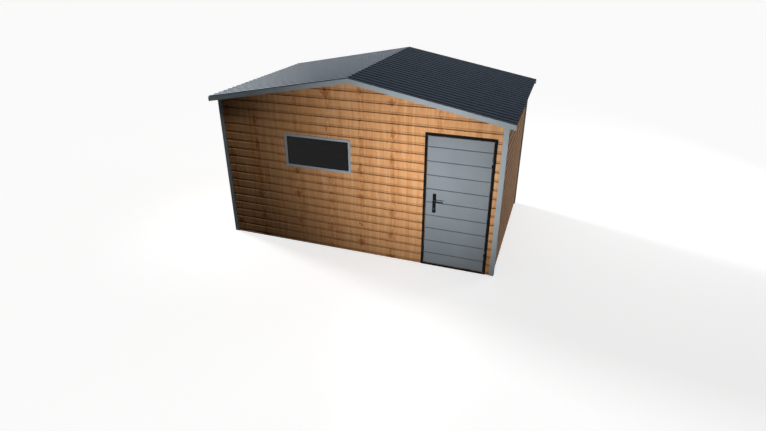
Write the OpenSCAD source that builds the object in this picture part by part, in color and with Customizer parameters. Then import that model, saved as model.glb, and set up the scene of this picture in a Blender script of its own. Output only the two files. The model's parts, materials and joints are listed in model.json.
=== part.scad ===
// Gable roof garden shed: ribbed steel sheet on a welded tube frame.
// The front faces -Y. The origin is the middle of the plan, on the ground.

/* [Shed] */
// Width over the side walls
shed_w = 4000; // [3600:50:5000]
// Depth over the front and back walls
shed_d = 2500; // [2000:50:4000]
// Height of the roof plane at the ridge
ridge_h = 2508; // [2400:10:3000]
// Pitch of the roof, in degrees
roof_pitch = 10.55; // [8:0.5:12]
// Roof beyond the side walls
eave_overhang = 102; // [60:2:160]
// Roof beyond the front and back walls
verge_overhang = 95; // [60:5:140]

/* [Sheets] */
// Thickness of every sheet
sheet_t = 1; // [0.8:0.1:1.5]
// Height of one plank of the wall sheet
plank_pitch = 121.5; // [100:0.5:150]
// Lower edge of the lowest wall groove
groove_start = 14; // [10:1:40]
// Height of a wall groove at its mouth
groove_mouth = 38; // [30:1:45]
// Height of a wall groove at its floor
groove_floor = 22; // [12:1:26]
// Depth of a wall groove
groove_depth = 9; // [5:1:14]
// Spacing of the roof ribs
rib_pitch = 113; // [100:1:130]
// Width of a roof rib at its top
rib_top = 40; // [30:1:46]
// Width of a roof rib at its foot
rib_foot = 58; // [50:1:64]
// Height of a roof rib
rib_h = 10; // [7:1:16]

/* [Trims] */
// Height of the trim along a verge
verge_h = 63; // [50:1:80]
// Depth of the verge trim's flange under the roof sheet
verge_flange = 40; // [25:1:50]
// Depth of the verge trim's bottom lip
verge_lip = 20; // [10:1:30]
// Width of each leg of a corner trim
corner_leg = 63; // [50:1:80]
// Corner trim in front of the front and back walls
corner_front = 7; // [4:1:12]
// Corner trim beyond the side walls
corner_side = 16; // [8:1:24]

/* [Frame] */
// Side of the square frame tube
tube = 30; // [25:1:40]
// Spacing of the back wall's studs
back_stud_gap = 1330; // [900:10:1500]
// Distance from the ridge to a middle purlin
purlin_x = 1000; // [800:10:1200]

/* [Window] */
// Width over the window frame
window_w = 980; // [700:10:1200]
// Height over the window frame
window_h = 470; // [380:10:570]
// Left wall face to the window frame
window_left = 1000; // [600:10:1060]
// Underside of the window frame above the ground
window_z = 1210; // [900:10:1300]
// Width of the window frame's face
window_face = 32; // [26:1:40]
// Window frame in front of the wall
window_proud = 10; // [5:1:16]
// Pane behind the face of the window frame
pane_recess = 8; // [4:1:12]
// Thickness of the double pane
pane_t = 24; // [16:1:28]
// Depth of the rebate that holds the pane
pane_rebate = 10; // [6:1:14]
// Room round the pane in its rebate
pane_play = 0.4; // [0.2:0.1:0.8]

/* [Door frame] */
// Width over the door frame
door_w = 900; // [700:10:1100]
// Height over the door frame
door_h = 1900; // [1580:10:1930]
// Door frame to the right wall face
door_right = 100; // [90:5:300]
// Width of the jambs' and head's face
jamb_face = 35; // [30:1:45]
// Height of the sill
sill_h = 30; // [20:1:40]
// Door frame in front of the wall
frame_proud = 8; // [4:1:12]
// Depth of the door frame, front to back
frame_depth = 60; // [58:1:80]
// Side of the stop strip behind the leaf
stop_side = 14; // [10:1:16]

/* [Door leaf] */
// Gap round the leaf
leaf_gap = 6.5; // [6:0.5:9]
// Leaf behind the face of the door frame
leaf_recess = 6; // [4:1:8]
// Side of the leaf's tubes
leaf_tube = 30; // [25:1:32]
// Height of one panel of the leaf
panel_pitch = 190.6; // [160:0.2:220]
// Middle of the lowest leaf groove above the ground
panel_start = 195; // [150:1:220]
// Height of a leaf groove at its mouth
panel_mouth = 14; // [10:1:18]
// Height of a leaf groove at its floor
panel_floor = 6; // [4:1:8]
// Depth of a leaf groove
panel_depth = 4; // [2:0.5:6]
// Leaf to the stop strip
stop_gap = 5; // [5:0.5:7]

/* [Hinges] */
// Radius of a hinge knuckle
knuckle_r = 8; // [7:0.5:9]
// Height of one knuckle
knuckle_h = 42; // [35:1:60]
// Radius of a hinge pin
pin_r = 4; // [3:0.5:5]
// Room round a hinge pin
pin_play = 0.05; // [0.02:0.01:0.1]
// Knuckle in front of the door frame's face
knuckle_air = 1; // [0.5:0.5:2]
// Gap between the two knuckles of a hinge
knuckle_gap = 0.5; // [0.3:0.1:1]
// Thickness of a hinge lug
lug_t = 5; // [4:1:7]
// Reach of the jamb's lug from the pin
jamb_lug = 28; // [20:1:34]
// Reach of the leaf's lug from the pin
leaf_lug = 12; // [10:1:30]
// Foot of the leaf to the middle of the lower hinge
hinge_foot = 285; // [100:5:500]
// Top of the leaf to the middle of the upper hinge
hinge_head = 280; // [100:5:500]

/* [Handle] */
// Leaf's free edge to the spindle
backset = 113; // [95:1:130]
// Height of the spindle
spindle_z = 992; // [900:1:1100]
// Spindle to the lock cylinder
lock_drop = 116; // [100:1:130]
// Width of a handle plate
plate_w = 45; // [40:1:54]
// Height of a handle plate
plate_h = 272; // [250:2:300]
// Thickness of a handle plate
plate_t = 8; // [6:1:10]
// Top of a handle plate above the spindle
plate_up = 93; // [80:1:110]
// Radius of the lever's neck
neck_r = 9; // [7:0.5:11]
// Room round the neck in its plate
neck_play = 0.08; // [0.02:0.01:0.1]
// Plate face to the middle of the lever
lever_out = 42; // [36:1:50]
// Spindle to the lever's tip
lever_len = 130; // [110:1:140]
// Radius of the lever
lever_r = 8; // [7:0.5:9]
// Side of the square spindle
spindle_side = 8; // [6:1:9]
// Radius of the spindle's hole through the lock
spindle_hole_r = 7.5; // [7:0.5:9]
// Lock cylinder beyond each plate
lock_proud = 3; // [1:0.5:5]
// Room round the lock cylinder
lock_play = 0.2; // [0.1:0.1:0.5]

/* [Hidden] */
$fn = 48;

wood = "#c98a52";
steel = "#59646c";
roof_colour = "#353c46";
door_grey = "#868e95";
black = "#17181a";
glass_colour = "#202324";
galvanised = "#8d9296";

half_w = shed_w / 2;
half_d = shed_d / 2;
slope = tan(roof_pitch);
roof_half = half_w + eave_overhang;
roof_half_d = half_d + verge_overhang;
roof_len = roof_half / cos(roof_pitch);
wall_air = 2;                         // wall sheet to roof sheet
ridge_gap = 1;                        // between the two roof sheets
seat_air = 0.1;                       // sloped pieces to what they seat on
wall_t = groove_depth + sheet_t;      // depth of the ribbed wall sheet
frame_half_w = half_w - wall_t;       // outer faces of the tube frame
frame_half_d = half_d - wall_t;
post_x = frame_half_w - tube;         // inner faces of the corner posts
post_y = frame_half_d - tube;
tie_z = max(door_h, window_z + window_h + tube);   // over the door and the window's rail

window_x = -half_w + window_left;
window_front = -half_d - window_proud;
window_back = -post_y;
pane_front = window_front + pane_recess;

door_x1 = half_w - door_right;
door_x0 = door_x1 - door_w;
frame_front = -half_d - frame_proud;
frame_back = frame_front + frame_depth;
leaf_x0 = door_x0 + jamb_face + leaf_gap;
leaf_x1 = door_x1 - jamb_face - leaf_gap;
leaf_z0 = sill_h + leaf_gap;
leaf_z1 = door_h - jamb_face - leaf_gap;
leaf_front = frame_front + leaf_recess;
tube_front = leaf_front + panel_depth + sheet_t;
leaf_back = tube_front + leaf_tube;
stop_front = leaf_back + stop_gap;

pin_x = leaf_x1 + leaf_gap / 2;
pin_y = frame_front - knuckle_air - knuckle_r;
hinge_zs = [leaf_z0 + hinge_foot, leaf_z1 - hinge_head];

spindle_x = leaf_x0 + backset;
lock_z = spindle_z - lock_drop;
plate_z1 = spindle_z + plate_up;
plate_z0 = plate_z1 - plate_h;
lock_box_margin = 20;
lock_box_z0 = plate_z0 - lock_box_margin;
lock_box_z1 = plate_z1 + lock_box_margin;
lock_slot_w = 10;
lock_slot_h = 26;
lock_r = 8.5;
leaf_mid = (leaf_front + leaf_back) / 2;
neck_seat = 6;                        // depth of the neck in its plate

// Height of the roof plane over a point x
function roof_z(x) = ridge_h - abs(x) * slope;

// Points along a sheet of width w: channels of a given mouth, floor and depth start at each of starts
function sheet_line(starts, w, mouth, floor_w, depth) = concat(
    [[0, 0]],
    [for (s = starts, p = [[s, 0], [s + (mouth - floor_w) / 2, depth],
                           [s + (mouth + floor_w) / 2, depth], [s + mouth, 0]]) p],
    [[w, 0]]);

// Closed outline of that sheet, as thick as sheet_t
module sheet_outline(starts, w, mouth, floor_w, depth) {
    line = sheet_line(starts, w, mouth, floor_w, depth);
    last = len(line) - 1;
    polygon(concat(line, [for (i = [last : -1 : 0]) line[i] + [0, sheet_t]]));
}

// Wall sheet that runs along +X, with its face on y = 0 and its back towards +Y
module wall_sheet(length) {
    top = ridge_h + plank_pitch;
    starts = [for (s = [groove_start : plank_pitch : top - groove_mouth - 1]) s];
    multmatrix([[0, 0, 1, 0], [0, 1, 0, 0], [1, 0, 0, 0], [0, 0, 0, 1]])
        linear_extrude(height = length)
            sheet_outline(starts, top, groove_mouth, groove_floor, groove_depth);
}

// Bar under the roof plane from x0 to x1, with sloped top and bottom
module slope_bar(x0, x1, y0, y1, drop, depth) {
    translate([0, y1, 0]) rotate([90, 0, 0]) linear_extrude(height = y1 - y0)
        polygon([[x0, roof_z(x0) - drop - depth], [x1, roof_z(x1) - drop - depth],
                 [x1, roof_z(x1) - drop], [x0, roof_z(x0) - drop]]);
}

// Upright from z0 to the roof plane less drop, over x0 to x1
module slope_post(x0, x1, y0, y1, z0, drop) {
    translate([0, y1, 0]) rotate([90, 0, 0]) linear_extrude(height = y1 - y0)
        polygon([[x0, z0], [x1, z0], [x1, roof_z(x1) - drop], [x0, roof_z(x0) - drop]]);
}

module box(x0, x1, y0, y1, z0, z1) {
    translate([x0, y0, z0]) cube([x1 - x0, y1 - y0, z1 - z0]);
}

// Everything under the wall tops between x0 and x1, as a cutter
module gable_cut(x0, x1, z0, z1) {
    top = max(z1, z0 + 1);
    depth = shed_d + 2 * tube;
    translate([0, depth / 2, 0]) rotate([90, 0, 0]) linear_extrude(height = depth)
        intersection() {
            polygon([[-half_w, 0], [half_w, 0], [half_w, roof_z(half_w) - wall_air],
                     [0, ridge_h - wall_air], [-half_w, roof_z(half_w) - wall_air]]);
            translate([x0, z0]) square([x1 - x0, top - z0]);
        }
}

// Part of the front wall's sheet
module front_sheet(x0, x1, z0 = 0, z1 = ridge_h) {
    color(wood) intersection() {
        translate([-half_w, -half_d, 0]) wall_sheet(shed_w);
        gable_cut(x0, x1, z0, z1);
    }
}

module front_wall_left() { front_sheet(-half_w, window_x); }
module front_wall_under_window() { front_sheet(window_x, window_x + window_w, 0, window_z); }
module front_wall_over_window() { front_sheet(window_x, window_x + window_w, window_z + window_h); }
module front_wall_middle() { front_sheet(window_x + window_w, door_x0); }
module front_wall_over_door() { front_sheet(door_x0, door_x1, door_h); }
module front_wall_right() { front_sheet(door_x1, half_w); }

module back_wall() {
    color(wood) intersection() {
        rotate([0, 0, 180]) translate([-half_w, -half_d, 0]) wall_sheet(shed_w);
        gable_cut(-half_w, half_w, 0, ridge_h);
    }
}

// Side walls stand between the front and back sheets
module right_wall() {
    color(wood) intersection() {
        translate([half_w, -frame_half_d, 0]) rotate([0, 0, 90]) wall_sheet(2 * frame_half_d);
        gable_cut(0, half_w, 0, ridge_h);
    }
}
module left_wall() { mirror([1, 0, 0]) right_wall(); }

// Roof sheet that falls towards +X, with its ribs down the slope
module roof_sheet_right() {
    channel = rib_pitch - rib_top;
    ribs = floor((2 * roof_half_d - rib_foot) / rib_pitch);
    first = roof_half_d - (ribs * rib_pitch + rib_foot) / 2;
    starts = [for (i = [0 : ribs]) first + i * rib_pitch];
    color(roof_colour) translate([0, 0, ridge_h + seat_air]) rotate([0, roof_pitch, 0])
        translate([ridge_gap / 2, -roof_half_d, 0])
            multmatrix([[0, 0, 1, 0], [1, 0, 0, 0], [0, 1, 0, 0], [0, 0, 0, 1]])
                linear_extrude(height = roof_len - ridge_gap / 2)
                    sheet_outline(starts, 2 * roof_half_d, rib_foot, rib_top, rib_h);
}
module roof_sheet_left() { mirror([1, 0, 0]) roof_sheet_right(); }

// Trim along the front verge of the right slope: face, flange under the sheet and bottom lip
module verge_trim_front_right() {
    y = -roof_half_d;
    color(steel) union() {
        slope_bar(0, roof_half, y, y + sheet_t, 0, verge_h);
        slope_bar(0, roof_half, y, y + verge_flange, 0, sheet_t);
        slope_bar(0, roof_half, y, y + verge_lip, verge_h - sheet_t, sheet_t);
    }
}
module verge_trim_front_left() { mirror([1, 0, 0]) verge_trim_front_right(); }
module verge_trim_back_right() { mirror([0, 1, 0]) verge_trim_front_right(); }
module verge_trim_back_left() { mirror([1, 0, 0]) verge_trim_back_right(); }

// Angle round the front right corner, with a lip back to each wall
module corner_trim_front_right() {
    x1 = half_w + corner_side;
    x0 = x1 - corner_leg;
    y0 = -half_d - corner_front;
    y1 = y0 + corner_leg;
    color(steel) intersection() {
        linear_extrude(height = ridge_h)
            polygon([[x0, -half_d], [x0, y0], [x1, y0], [x1, y1], [half_w, y1], [half_w, y1 - sheet_t],
                     [x1 - sheet_t, y1 - sheet_t], [x1 - sheet_t, y0 + sheet_t],
                     [x0 + sheet_t, y0 + sheet_t], [x0 + sheet_t, -half_d]]);
        slope_post(x0, x1, y0, y1, 0, wall_air);
    }
}
module corner_trim_front_left() { mirror([1, 0, 0]) corner_trim_front_right(); }
module corner_trim_back_right() { mirror([0, 1, 0]) corner_trim_front_right(); }
module corner_trim_back_left() { mirror([1, 0, 0]) corner_trim_back_right(); }

module corner_posts() {
    color(galvanised) for (mx = [0, 1], my = [0, 1])
        mirror([mx, 0, 0]) mirror([0, my, 0])
            slope_post(post_x, frame_half_w, post_y, frame_half_d, 0, tube + seat_air);
}

module base_rails() {
    color(galvanised) {
        box(-post_x, door_x0, -frame_half_d, -post_y, 0, tube);
        box(door_x1, post_x, -frame_half_d, -post_y, 0, tube);
        box(-post_x, post_x, post_y, frame_half_d, 0, tube);
        for (mx = [0, 1]) mirror([mx, 0, 0]) box(post_x, frame_half_w, -post_y, post_y, 0, tube);
    }
}

module eave_rails() {
    color(galvanised) for (mx = [0, 1]) mirror([mx, 0, 0])
        slope_bar(post_x, frame_half_w, -post_y, post_y, 0, tube);
}

// The front tie lies on the door head; a low door has a rail of its own there
module gable_ties() {
    color(galvanised) {
        for (my = [0, 1]) mirror([0, my, 0])
            box(-post_x, post_x, post_y, frame_half_d, tie_z, tie_z + tube);
        if (tie_z > door_h)
            box(door_x0, door_x1, -frame_half_d, -post_y, door_h, min(door_h + tube, tie_z));
    }
}

module gable_rafters() {
    color(galvanised) for (mx = [0, 1], my = [0, 1])
        mirror([mx, 0, 0]) mirror([0, my, 0])
            slope_bar(tube / 2, frame_half_w, post_y, frame_half_d, 0, tube);
}

// The ridge purlin runs through between the rafters; the middle ones stand between the gables
module roof_purlins() {
    color(galvanised) {
        translate([0, frame_half_d, 0]) rotate([90, 0, 0]) linear_extrude(height = 2 * frame_half_d)
            polygon([[-tube / 2, roof_z(tube / 2) - tube], [tube / 2, roof_z(tube / 2) - tube],
                     [tube / 2, roof_z(tube / 2)], [0, ridge_h], [-tube / 2, roof_z(tube / 2)]]);
        for (mx = [0, 1]) mirror([mx, 0, 0])
            slope_bar(purlin_x, purlin_x + tube, -post_y, post_y, 0, tube);
    }
}

// Studs beside the window and the door, of the back wall and the side walls, and the king posts over the ties
module wall_studs() {
    color(galvanised) {
        for (x = [window_x - tube, window_x + window_w, door_x0 - tube, door_x1])
            box(x, x + tube, -frame_half_d, -post_y, tube, tie_z);
        for (x = [-back_stud_gap / 2 - tube, back_stud_gap / 2])
            box(x, x + tube, post_y, frame_half_d, tube, tie_z);
        for (mx = [0, 1]) mirror([mx, 0, 0])
            slope_post(post_x, frame_half_w, -tube / 2, tube / 2, tube, tube + seat_air);
        for (my = [0, 1]) mirror([0, my, 0])
            box(-tube / 2, tube / 2, post_y, frame_half_d, tie_z + tube, roof_z(tube / 2) - tube);
    }
}

module window_rails() {
    color(galvanised) for (z = [window_z - tube, window_z + window_h])
        box(window_x, window_x + window_w, -frame_half_d, -post_y, z, z + tube);
}

// Box that is smaller than the window frame by inset on each side
module window_box(inset, y0, y1) {
    box(window_x + inset, window_x + window_w - inset, y0, y1, window_z + inset, window_z + window_h - inset);
}

module window_frame() {
    color(steel) difference() {
        window_box(0, window_front, window_back);
        window_box(window_face, window_front - 1, window_back + 1);
        window_box(window_face - pane_rebate, pane_front, window_back + 1);
    }
}
module window_pane() {
    color(glass_colour) window_box(window_face - pane_rebate + pane_play, pane_front, pane_front + pane_t);
}
module window_bead() {
    color(steel) difference() {
        window_box(window_face - pane_rebate + pane_play, pane_front + pane_t, window_back);
        window_box(window_face, pane_front, window_back + 1);
    }
}

// One side of the door frame
module door_side(x0, x1, z0, z1) {
    color(black) box(x0, x1, frame_front, frame_back, z0, z1);
}

module door_jamb_left() { door_side(door_x0, door_x0 + jamb_face, 0, door_h); }
module door_jamb_right() { door_side(door_x1 - jamb_face, door_x1, 0, door_h); }
module door_head() { door_side(door_x0 + jamb_face, door_x1 - jamb_face, door_h - jamb_face, door_h); }
module door_sill() { door_side(door_x0 + jamb_face, door_x1 - jamb_face, 0, sill_h); }

// Four strips behind the leaf; the upright ones stand between the level ones
module door_stops() {
    x0 = door_x0 + jamb_face;
    x1 = door_x1 - jamb_face;
    z0 = sill_h;
    z1 = door_h - jamb_face;
    joint = 0.3;
    y1 = stop_front + stop_side;
    color(wood) {
        box(x0, x1, stop_front, y1, z1 - stop_side, z1);
        box(x0, x1, stop_front, y1, z0, z0 + stop_side);
        for (x = [x0, x1 - stop_side])
            box(x, x + stop_side, stop_front, y1, z0 + stop_side + joint, z1 - stop_side - joint);
    }
}

// Lower knuckle of each hinge, with its pin and the lug on the jamb
module hinge_pins() {
    color(black) for (z = hinge_zs) {
        translate([pin_x, pin_y, z - knuckle_h]) cylinder(r = knuckle_r, h = knuckle_h);
        translate([pin_x, pin_y, z - 1]) cylinder(r = pin_r, h = knuckle_h);
        box(pin_x, pin_x + jamb_lug, frame_front - lug_t, frame_front, z - knuckle_h, z);
    }
}

// Upper knuckle of each hinge, with the lug on the leaf
module hinge_knuckles() {
    color(black) for (z = hinge_zs) {
        z0 = z + knuckle_gap;
        difference() {
            union() {
                translate([pin_x, pin_y, z0]) cylinder(r = knuckle_r, h = knuckle_h);
                box(pin_x - leaf_lug, pin_x, frame_front - lug_t, leaf_front, z0, z0 + knuckle_h);
            }
            translate([pin_x, pin_y, z0 - 1]) cylinder(r = pin_r + pin_play, h = knuckle_h + 2);
        }
    }
}

// Outline of the lock cylinder in X and Z: a round plug on a narrow tail
module lock_shape(play) {
    circle(r = lock_r + play);
    translate([-lock_slot_w / 2 - play, -lock_slot_h - play]) square([lock_slot_w + 2 * play, lock_slot_h]);
}

// Prism along Y from y0 to y1 over a child drawn round the point x, z
module along_y(x, z, y0, y1) {
    translate([x, y1, z]) rotate([90, 0, 0]) linear_extrude(height = y1 - y0) children();
}

// What passes through the leaf: the spindle's hole and the lock cylinder's
module lock_holes(spindle_r) {
    y0 = leaf_front - plate_t - 1;
    y1 = leaf_back + plate_t + 1;
    along_y(spindle_x, spindle_z, y0, y1) circle(r = spindle_r);
    along_y(spindle_x, lock_z, y0, y1) lock_shape(lock_play);
}

module door_skin() {
    starts = [for (z = [panel_start : panel_pitch : leaf_z1 - panel_mouth]) z - panel_mouth / 2 - leaf_z0];
    color(door_grey) difference() {
        translate([leaf_x0, leaf_front, leaf_z0])
            multmatrix([[0, 0, 1, 0], [0, 1, 0, 0], [1, 0, 0, 0], [0, 0, 0, 1]])
                linear_extrude(height = leaf_x1 - leaf_x0)
                    sheet_outline(starts, leaf_z1 - leaf_z0, panel_mouth, panel_floor, panel_depth);
        lock_holes(spindle_hole_r);
    }
}

module door_stiles() {
    color(door_grey) for (x = [leaf_x0, leaf_x1 - leaf_tube])
        box(x, x + leaf_tube, tube_front, leaf_back, leaf_z0, leaf_z1);
}

// Rails at equal steps, the middle two clear of the lock box
module door_rails() {
    step = (leaf_z1 - leaf_z0 - leaf_tube) / 3;
    rail_zs = [leaf_z0, min(leaf_z0 + step, lock_box_z0 - leaf_tube),
               max(leaf_z0 + 2 * step, lock_box_z1), leaf_z1 - leaf_tube];
    color(door_grey) for (z = rail_zs)
        box(leaf_x0 + leaf_tube, leaf_x1 - leaf_tube, tube_front, leaf_back, z, z + leaf_tube);
}

module door_lock_box() {
    color(door_grey) difference() {
        box(leaf_x0 + leaf_tube, spindle_x + plate_w / 2 + lock_box_margin, tube_front, leaf_back,
            lock_box_z0, lock_box_z1);
        lock_holes(spindle_hole_r);
    }
}

module handle_plates() {
    color(black) difference() {
        for (y = [leaf_front - plate_t, leaf_back])
            box(spindle_x - plate_w / 2, spindle_x + plate_w / 2, y, y + plate_t, plate_z0, plate_z1);
        lock_holes(neck_r + neck_play);
    }
}

module lock_cylinder() {
    y0 = leaf_front - plate_t - lock_proud;
    y1 = leaf_back + plate_t + lock_proud;
    color(galvanised) along_y(spindle_x, lock_z, y0, y1) lock_shape(0);
}

// Lever that stands out towards -Y from a plate whose face is on y
module lever(y) {
    seat = y + neck_seat;
    bar_y = y - lever_out;
    translate([spindle_x, seat, spindle_z]) rotate([90, 0, 0]) cylinder(r = neck_r, h = seat - bar_y);
    translate([spindle_x, bar_y, spindle_z]) {
        sphere(r = neck_r);
        rotate([0, 90, 0]) cylinder(r = lever_r, h = lever_len - lever_r);
        translate([lever_len - lever_r, 0, 0]) sphere(r = lever_r);
    }
}

module lever_outside() {
    face = leaf_front - plate_t;
    far_seat = leaf_back + plate_t - neck_seat;
    color(black) union() {
        lever(face);
        along_y(spindle_x, spindle_z, face + neck_seat, far_seat) square(spindle_side, center = true);
    }
}

module lever_inside() {
    color(black) translate([0, 2 * leaf_mid, 0]) mirror([0, 1, 0]) lever(leaf_front - plate_t);
}

front_wall_left();
front_wall_under_window();
front_wall_over_window();
front_wall_middle();
front_wall_over_door();
front_wall_right();
left_wall();
right_wall();
back_wall();
roof_sheet_left();
roof_sheet_right();
verge_trim_front_left();
verge_trim_front_right();
verge_trim_back_left();
verge_trim_back_right();
corner_trim_front_left();
corner_trim_front_right();
corner_trim_back_left();
corner_trim_back_right();
corner_posts();
base_rails();
eave_rails();
gable_ties();
gable_rafters();
roof_purlins();
wall_studs();
window_rails();
window_frame();
window_pane();
window_bead();
door_jamb_left();
door_jamb_right();
door_head();
door_sill();
door_stops();
hinge_pins();
door_skin();
door_stiles();
door_rails();
door_lock_box();
hinge_knuckles();
handle_plates();
lock_cylinder();
lever_outside();
lever_inside();
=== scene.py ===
import json
import math

import bmesh
import bpy
from mathutils import Matrix, Vector


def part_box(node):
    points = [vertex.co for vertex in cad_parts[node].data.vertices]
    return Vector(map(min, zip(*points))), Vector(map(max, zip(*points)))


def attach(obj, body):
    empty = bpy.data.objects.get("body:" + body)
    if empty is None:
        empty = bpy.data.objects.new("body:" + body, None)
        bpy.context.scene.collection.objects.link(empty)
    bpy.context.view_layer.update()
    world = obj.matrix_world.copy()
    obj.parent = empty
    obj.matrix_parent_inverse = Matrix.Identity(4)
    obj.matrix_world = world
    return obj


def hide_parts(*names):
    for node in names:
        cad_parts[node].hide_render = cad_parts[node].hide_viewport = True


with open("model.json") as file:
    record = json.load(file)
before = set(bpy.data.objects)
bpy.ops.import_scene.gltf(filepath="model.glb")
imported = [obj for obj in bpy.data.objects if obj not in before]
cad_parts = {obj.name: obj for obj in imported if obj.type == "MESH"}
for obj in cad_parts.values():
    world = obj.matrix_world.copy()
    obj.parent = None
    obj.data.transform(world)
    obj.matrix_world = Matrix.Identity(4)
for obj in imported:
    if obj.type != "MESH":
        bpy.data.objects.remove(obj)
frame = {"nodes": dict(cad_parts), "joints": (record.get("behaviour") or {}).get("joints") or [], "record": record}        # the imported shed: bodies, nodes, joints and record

nodes = frame["nodes"]
jointAt = {joint["name"]: Vector(joint["pos_m"]) for joint in frame["joints"]}
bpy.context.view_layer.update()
mm = 0.001
samePlace = 0.1 * mm    # two places nearer than this are one
turnedPast = 0.3        # a face counts as turned some way once its normal has this much of it

print("camera")
camera = {
    "place": (2.5836, -7.3307, 3.8368),     # metres
    "down": 26.30,      # degrees below level
    "left": 19.42,      # degrees to the left of +Y
    "lens": 24.45,      # mm
    "sensor": 36,       # mm
}
cameraData = bpy.data.cameras.new("camera")
cameraData.lens = camera["lens"]
cameraData.sensor_width = camera["sensor"]
cameraObject = bpy.data.objects.new("camera", cameraData)
cameraObject.location = camera["place"]
cameraObject.rotation_euler = (math.radians(90 - camera["down"]), 0, math.radians(camera["left"]))
bpy.context.scene.collection.objects.link(cameraObject)
bpy.context.scene.camera = cameraObject


def linearColour(hexColour):
    parts = [int(hexColour[i:i + 2], 16) / 255 for i in (1, 3, 5)]
    return [c / 12.92 if c <= 0.04045 else ((c + 0.055) / 1.055) ** 2.4 for c in parts] + [1]


# Gives a socket a number, a colour in hex, another socket, or the first live output of a node
def feed(tree, socket, value):
    if isinstance(value, bpy.types.Node):
        value = next(output for output in value.outputs if output.enabled)
    if isinstance(value, bpy.types.NodeSocket):
        tree.links.new(value, socket)
    elif isinstance(value, str):
        socket.default_value = linearColour(value)
    else:
        socket.default_value = value


# Adds a node with its settings and inputs, which are named or counted among the live ones
def addNode(tree, kind, inputs=None, **settings):
    node = tree.nodes.new("ShaderNode" + kind)
    for name, value in settings.items():
        setattr(node, name, value)
    for key, value in (inputs or {}).items():
        live = [socket for socket in node.inputs if socket.enabled]
        feed(tree, live[key] if isinstance(key, int) else next(s for s in live if s.name == key), value)
    return node


# Inputs of a Map Range node, whose value may run up or down between the ends
def ramp(value, ends, low=0.0, high=1.0):
    return {"Value": value, "From Min": ends[0], "From Max": ends[1], "To Min": low, "To Max": high}


# A Principled material and what its nodes start from
def newMaterial(name, **sockets):
    material = bpy.data.materials.new(name)
    material.use_nodes = True
    tree = material.node_tree
    shader = tree.nodes["Principled BSDF"]
    for socket, value in sockets.items():
        feed(tree, shader.inputs[socket.replace("_", " ")], value)
    return material, tree, shader, addNode(tree, "TexCoord")


print("materials")
# Steel sheet under a printed pine film: warm, nearly matt, in soft bands with strings of knots up the wall
woodPrint = {
    "dark": "#ac7648",
    "mid": "#b8885d",
    "pale": "#c59a70",
    "tones": (0.32, 0.50, 0.68),    # at which the grain is dark, mid and pale
    # width and length of a streak in mm, and its share of the tone
    "streaks": ((70, 2600, 0.36), (24, 420, 0.38), (6, 60, 0.26)),
    "bends": 2.1,           # to a metre of grain
    "stray": 35,            # mm that the grain wanders to each side
    "backCoat": "#a4a6a3",  # the grey primer on the room's side
    "lip": 4.0,             # how much steeper light meets the lips of a groove, which are rounded
    "grooveDepth": (2, 9),  # mm behind the face, where the painted shade begins and where it is darkest
    "grooveShade": 0.23,
    "roughness": (0.42, 0.25),      # of the darkest grain, and what the palest adds
    "relief": 0.2,          # mm, of the finest streaks
    "reliefStrength": 0.25,
    "specular": 0.03,
}
knotStrings = {
    "gap": 505,             # mm between strings of knots
    "count": 4,             # strings before the print repeats
    "start": 0.25,          # share of a gap by which the strings are set over
    "place": (0.35, 0.3),   # a string's place in its gap: the least share, and what chance adds
    "aside": 30,            # mm that a knot may stand beside its string
    "ripple": (26.0, 25),   # waves to a metre in a knot's outline, and their mm
    "step": 380,            # mm along a string from knot to knot
    "stepPlace": (0.3, 0.4),        # a knot's place in its step, in the same way
    "half": (42, 60),       # mm across and along the grain
    "size": (0.6, 0.6),     # a knot's size in those: the least share, and what chance adds
    "colour": "#7c3712",
    "strength": (0.3, 0.95),        # of the faintest knot and the darkest
    # where each mark fades in, in a knot's own half sizes: up from its middle, or out from its string
    "taper": (-1.0, 0.6),
    "footWidth": 0.12,
    "heart": (1.05, 0.4),
    "heartStrength": 0.75,
    "armSlope": 0.85,
    "armEdge": (0.75, 0.15),
    "armTop": (0.7, -0.2),
    "armFoot": (-1.6, -1.1),
    "strokeEdge": (0.5, 0.1),
    "strokeTop": (2.4, 1.0),
    "strokeFoot": (0.4, 1.3),
    "strokeStrength": 0.8,
    # chances between which the arms and the stroke come in
    "armChance": (0.2, 0.6),
    "armStrength": 0.6,
    "strokeChance": (0.3, 0.9),
}
growthRings = {
    "colour": "#925023",
    "gap": 26,              # mm, coarser than the real 3 to 5 mm so that it shows
    "reach": (105, 10),     # mm to each side of a string, where the rings begin and where they are whole
    "strength": 0.5,
    "sharpness": 2.2,
    "pithScale": (7.3, 2.6, 0),     # from string to string, and bends to a metre
    "pithStray": 170,       # mm that the pith wanders in front of the print and behind it
    "pull": 30,             # mm by which a knot pushes the rings aside
    "pullReach": (3.2, 0.6),        # in a knot's half sizes
}


# Tone of the grain: streaks of three sizes over each other, and the finest of them
def grainTone(tree, flat):
    tone = 0.0
    for width, length, share in woodPrint["streaks"]:
        stretch = (1 / (width * mm), 1 / (length * mm), 0)
        spots = addNode(tree, "VectorMath", {0: flat, 1: stretch}, operation="MULTIPLY")
        grain = addNode(tree, "TexNoise", {"Vector": spots, "Scale": 1.0, "Detail": 2.0},
                        noise_dimensions="2D")
        tone = addNode(tree, "Math", {0: grain, 1: share, 2: tone}, operation="MULTIPLY_ADD")
    return tone, grain


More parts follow.
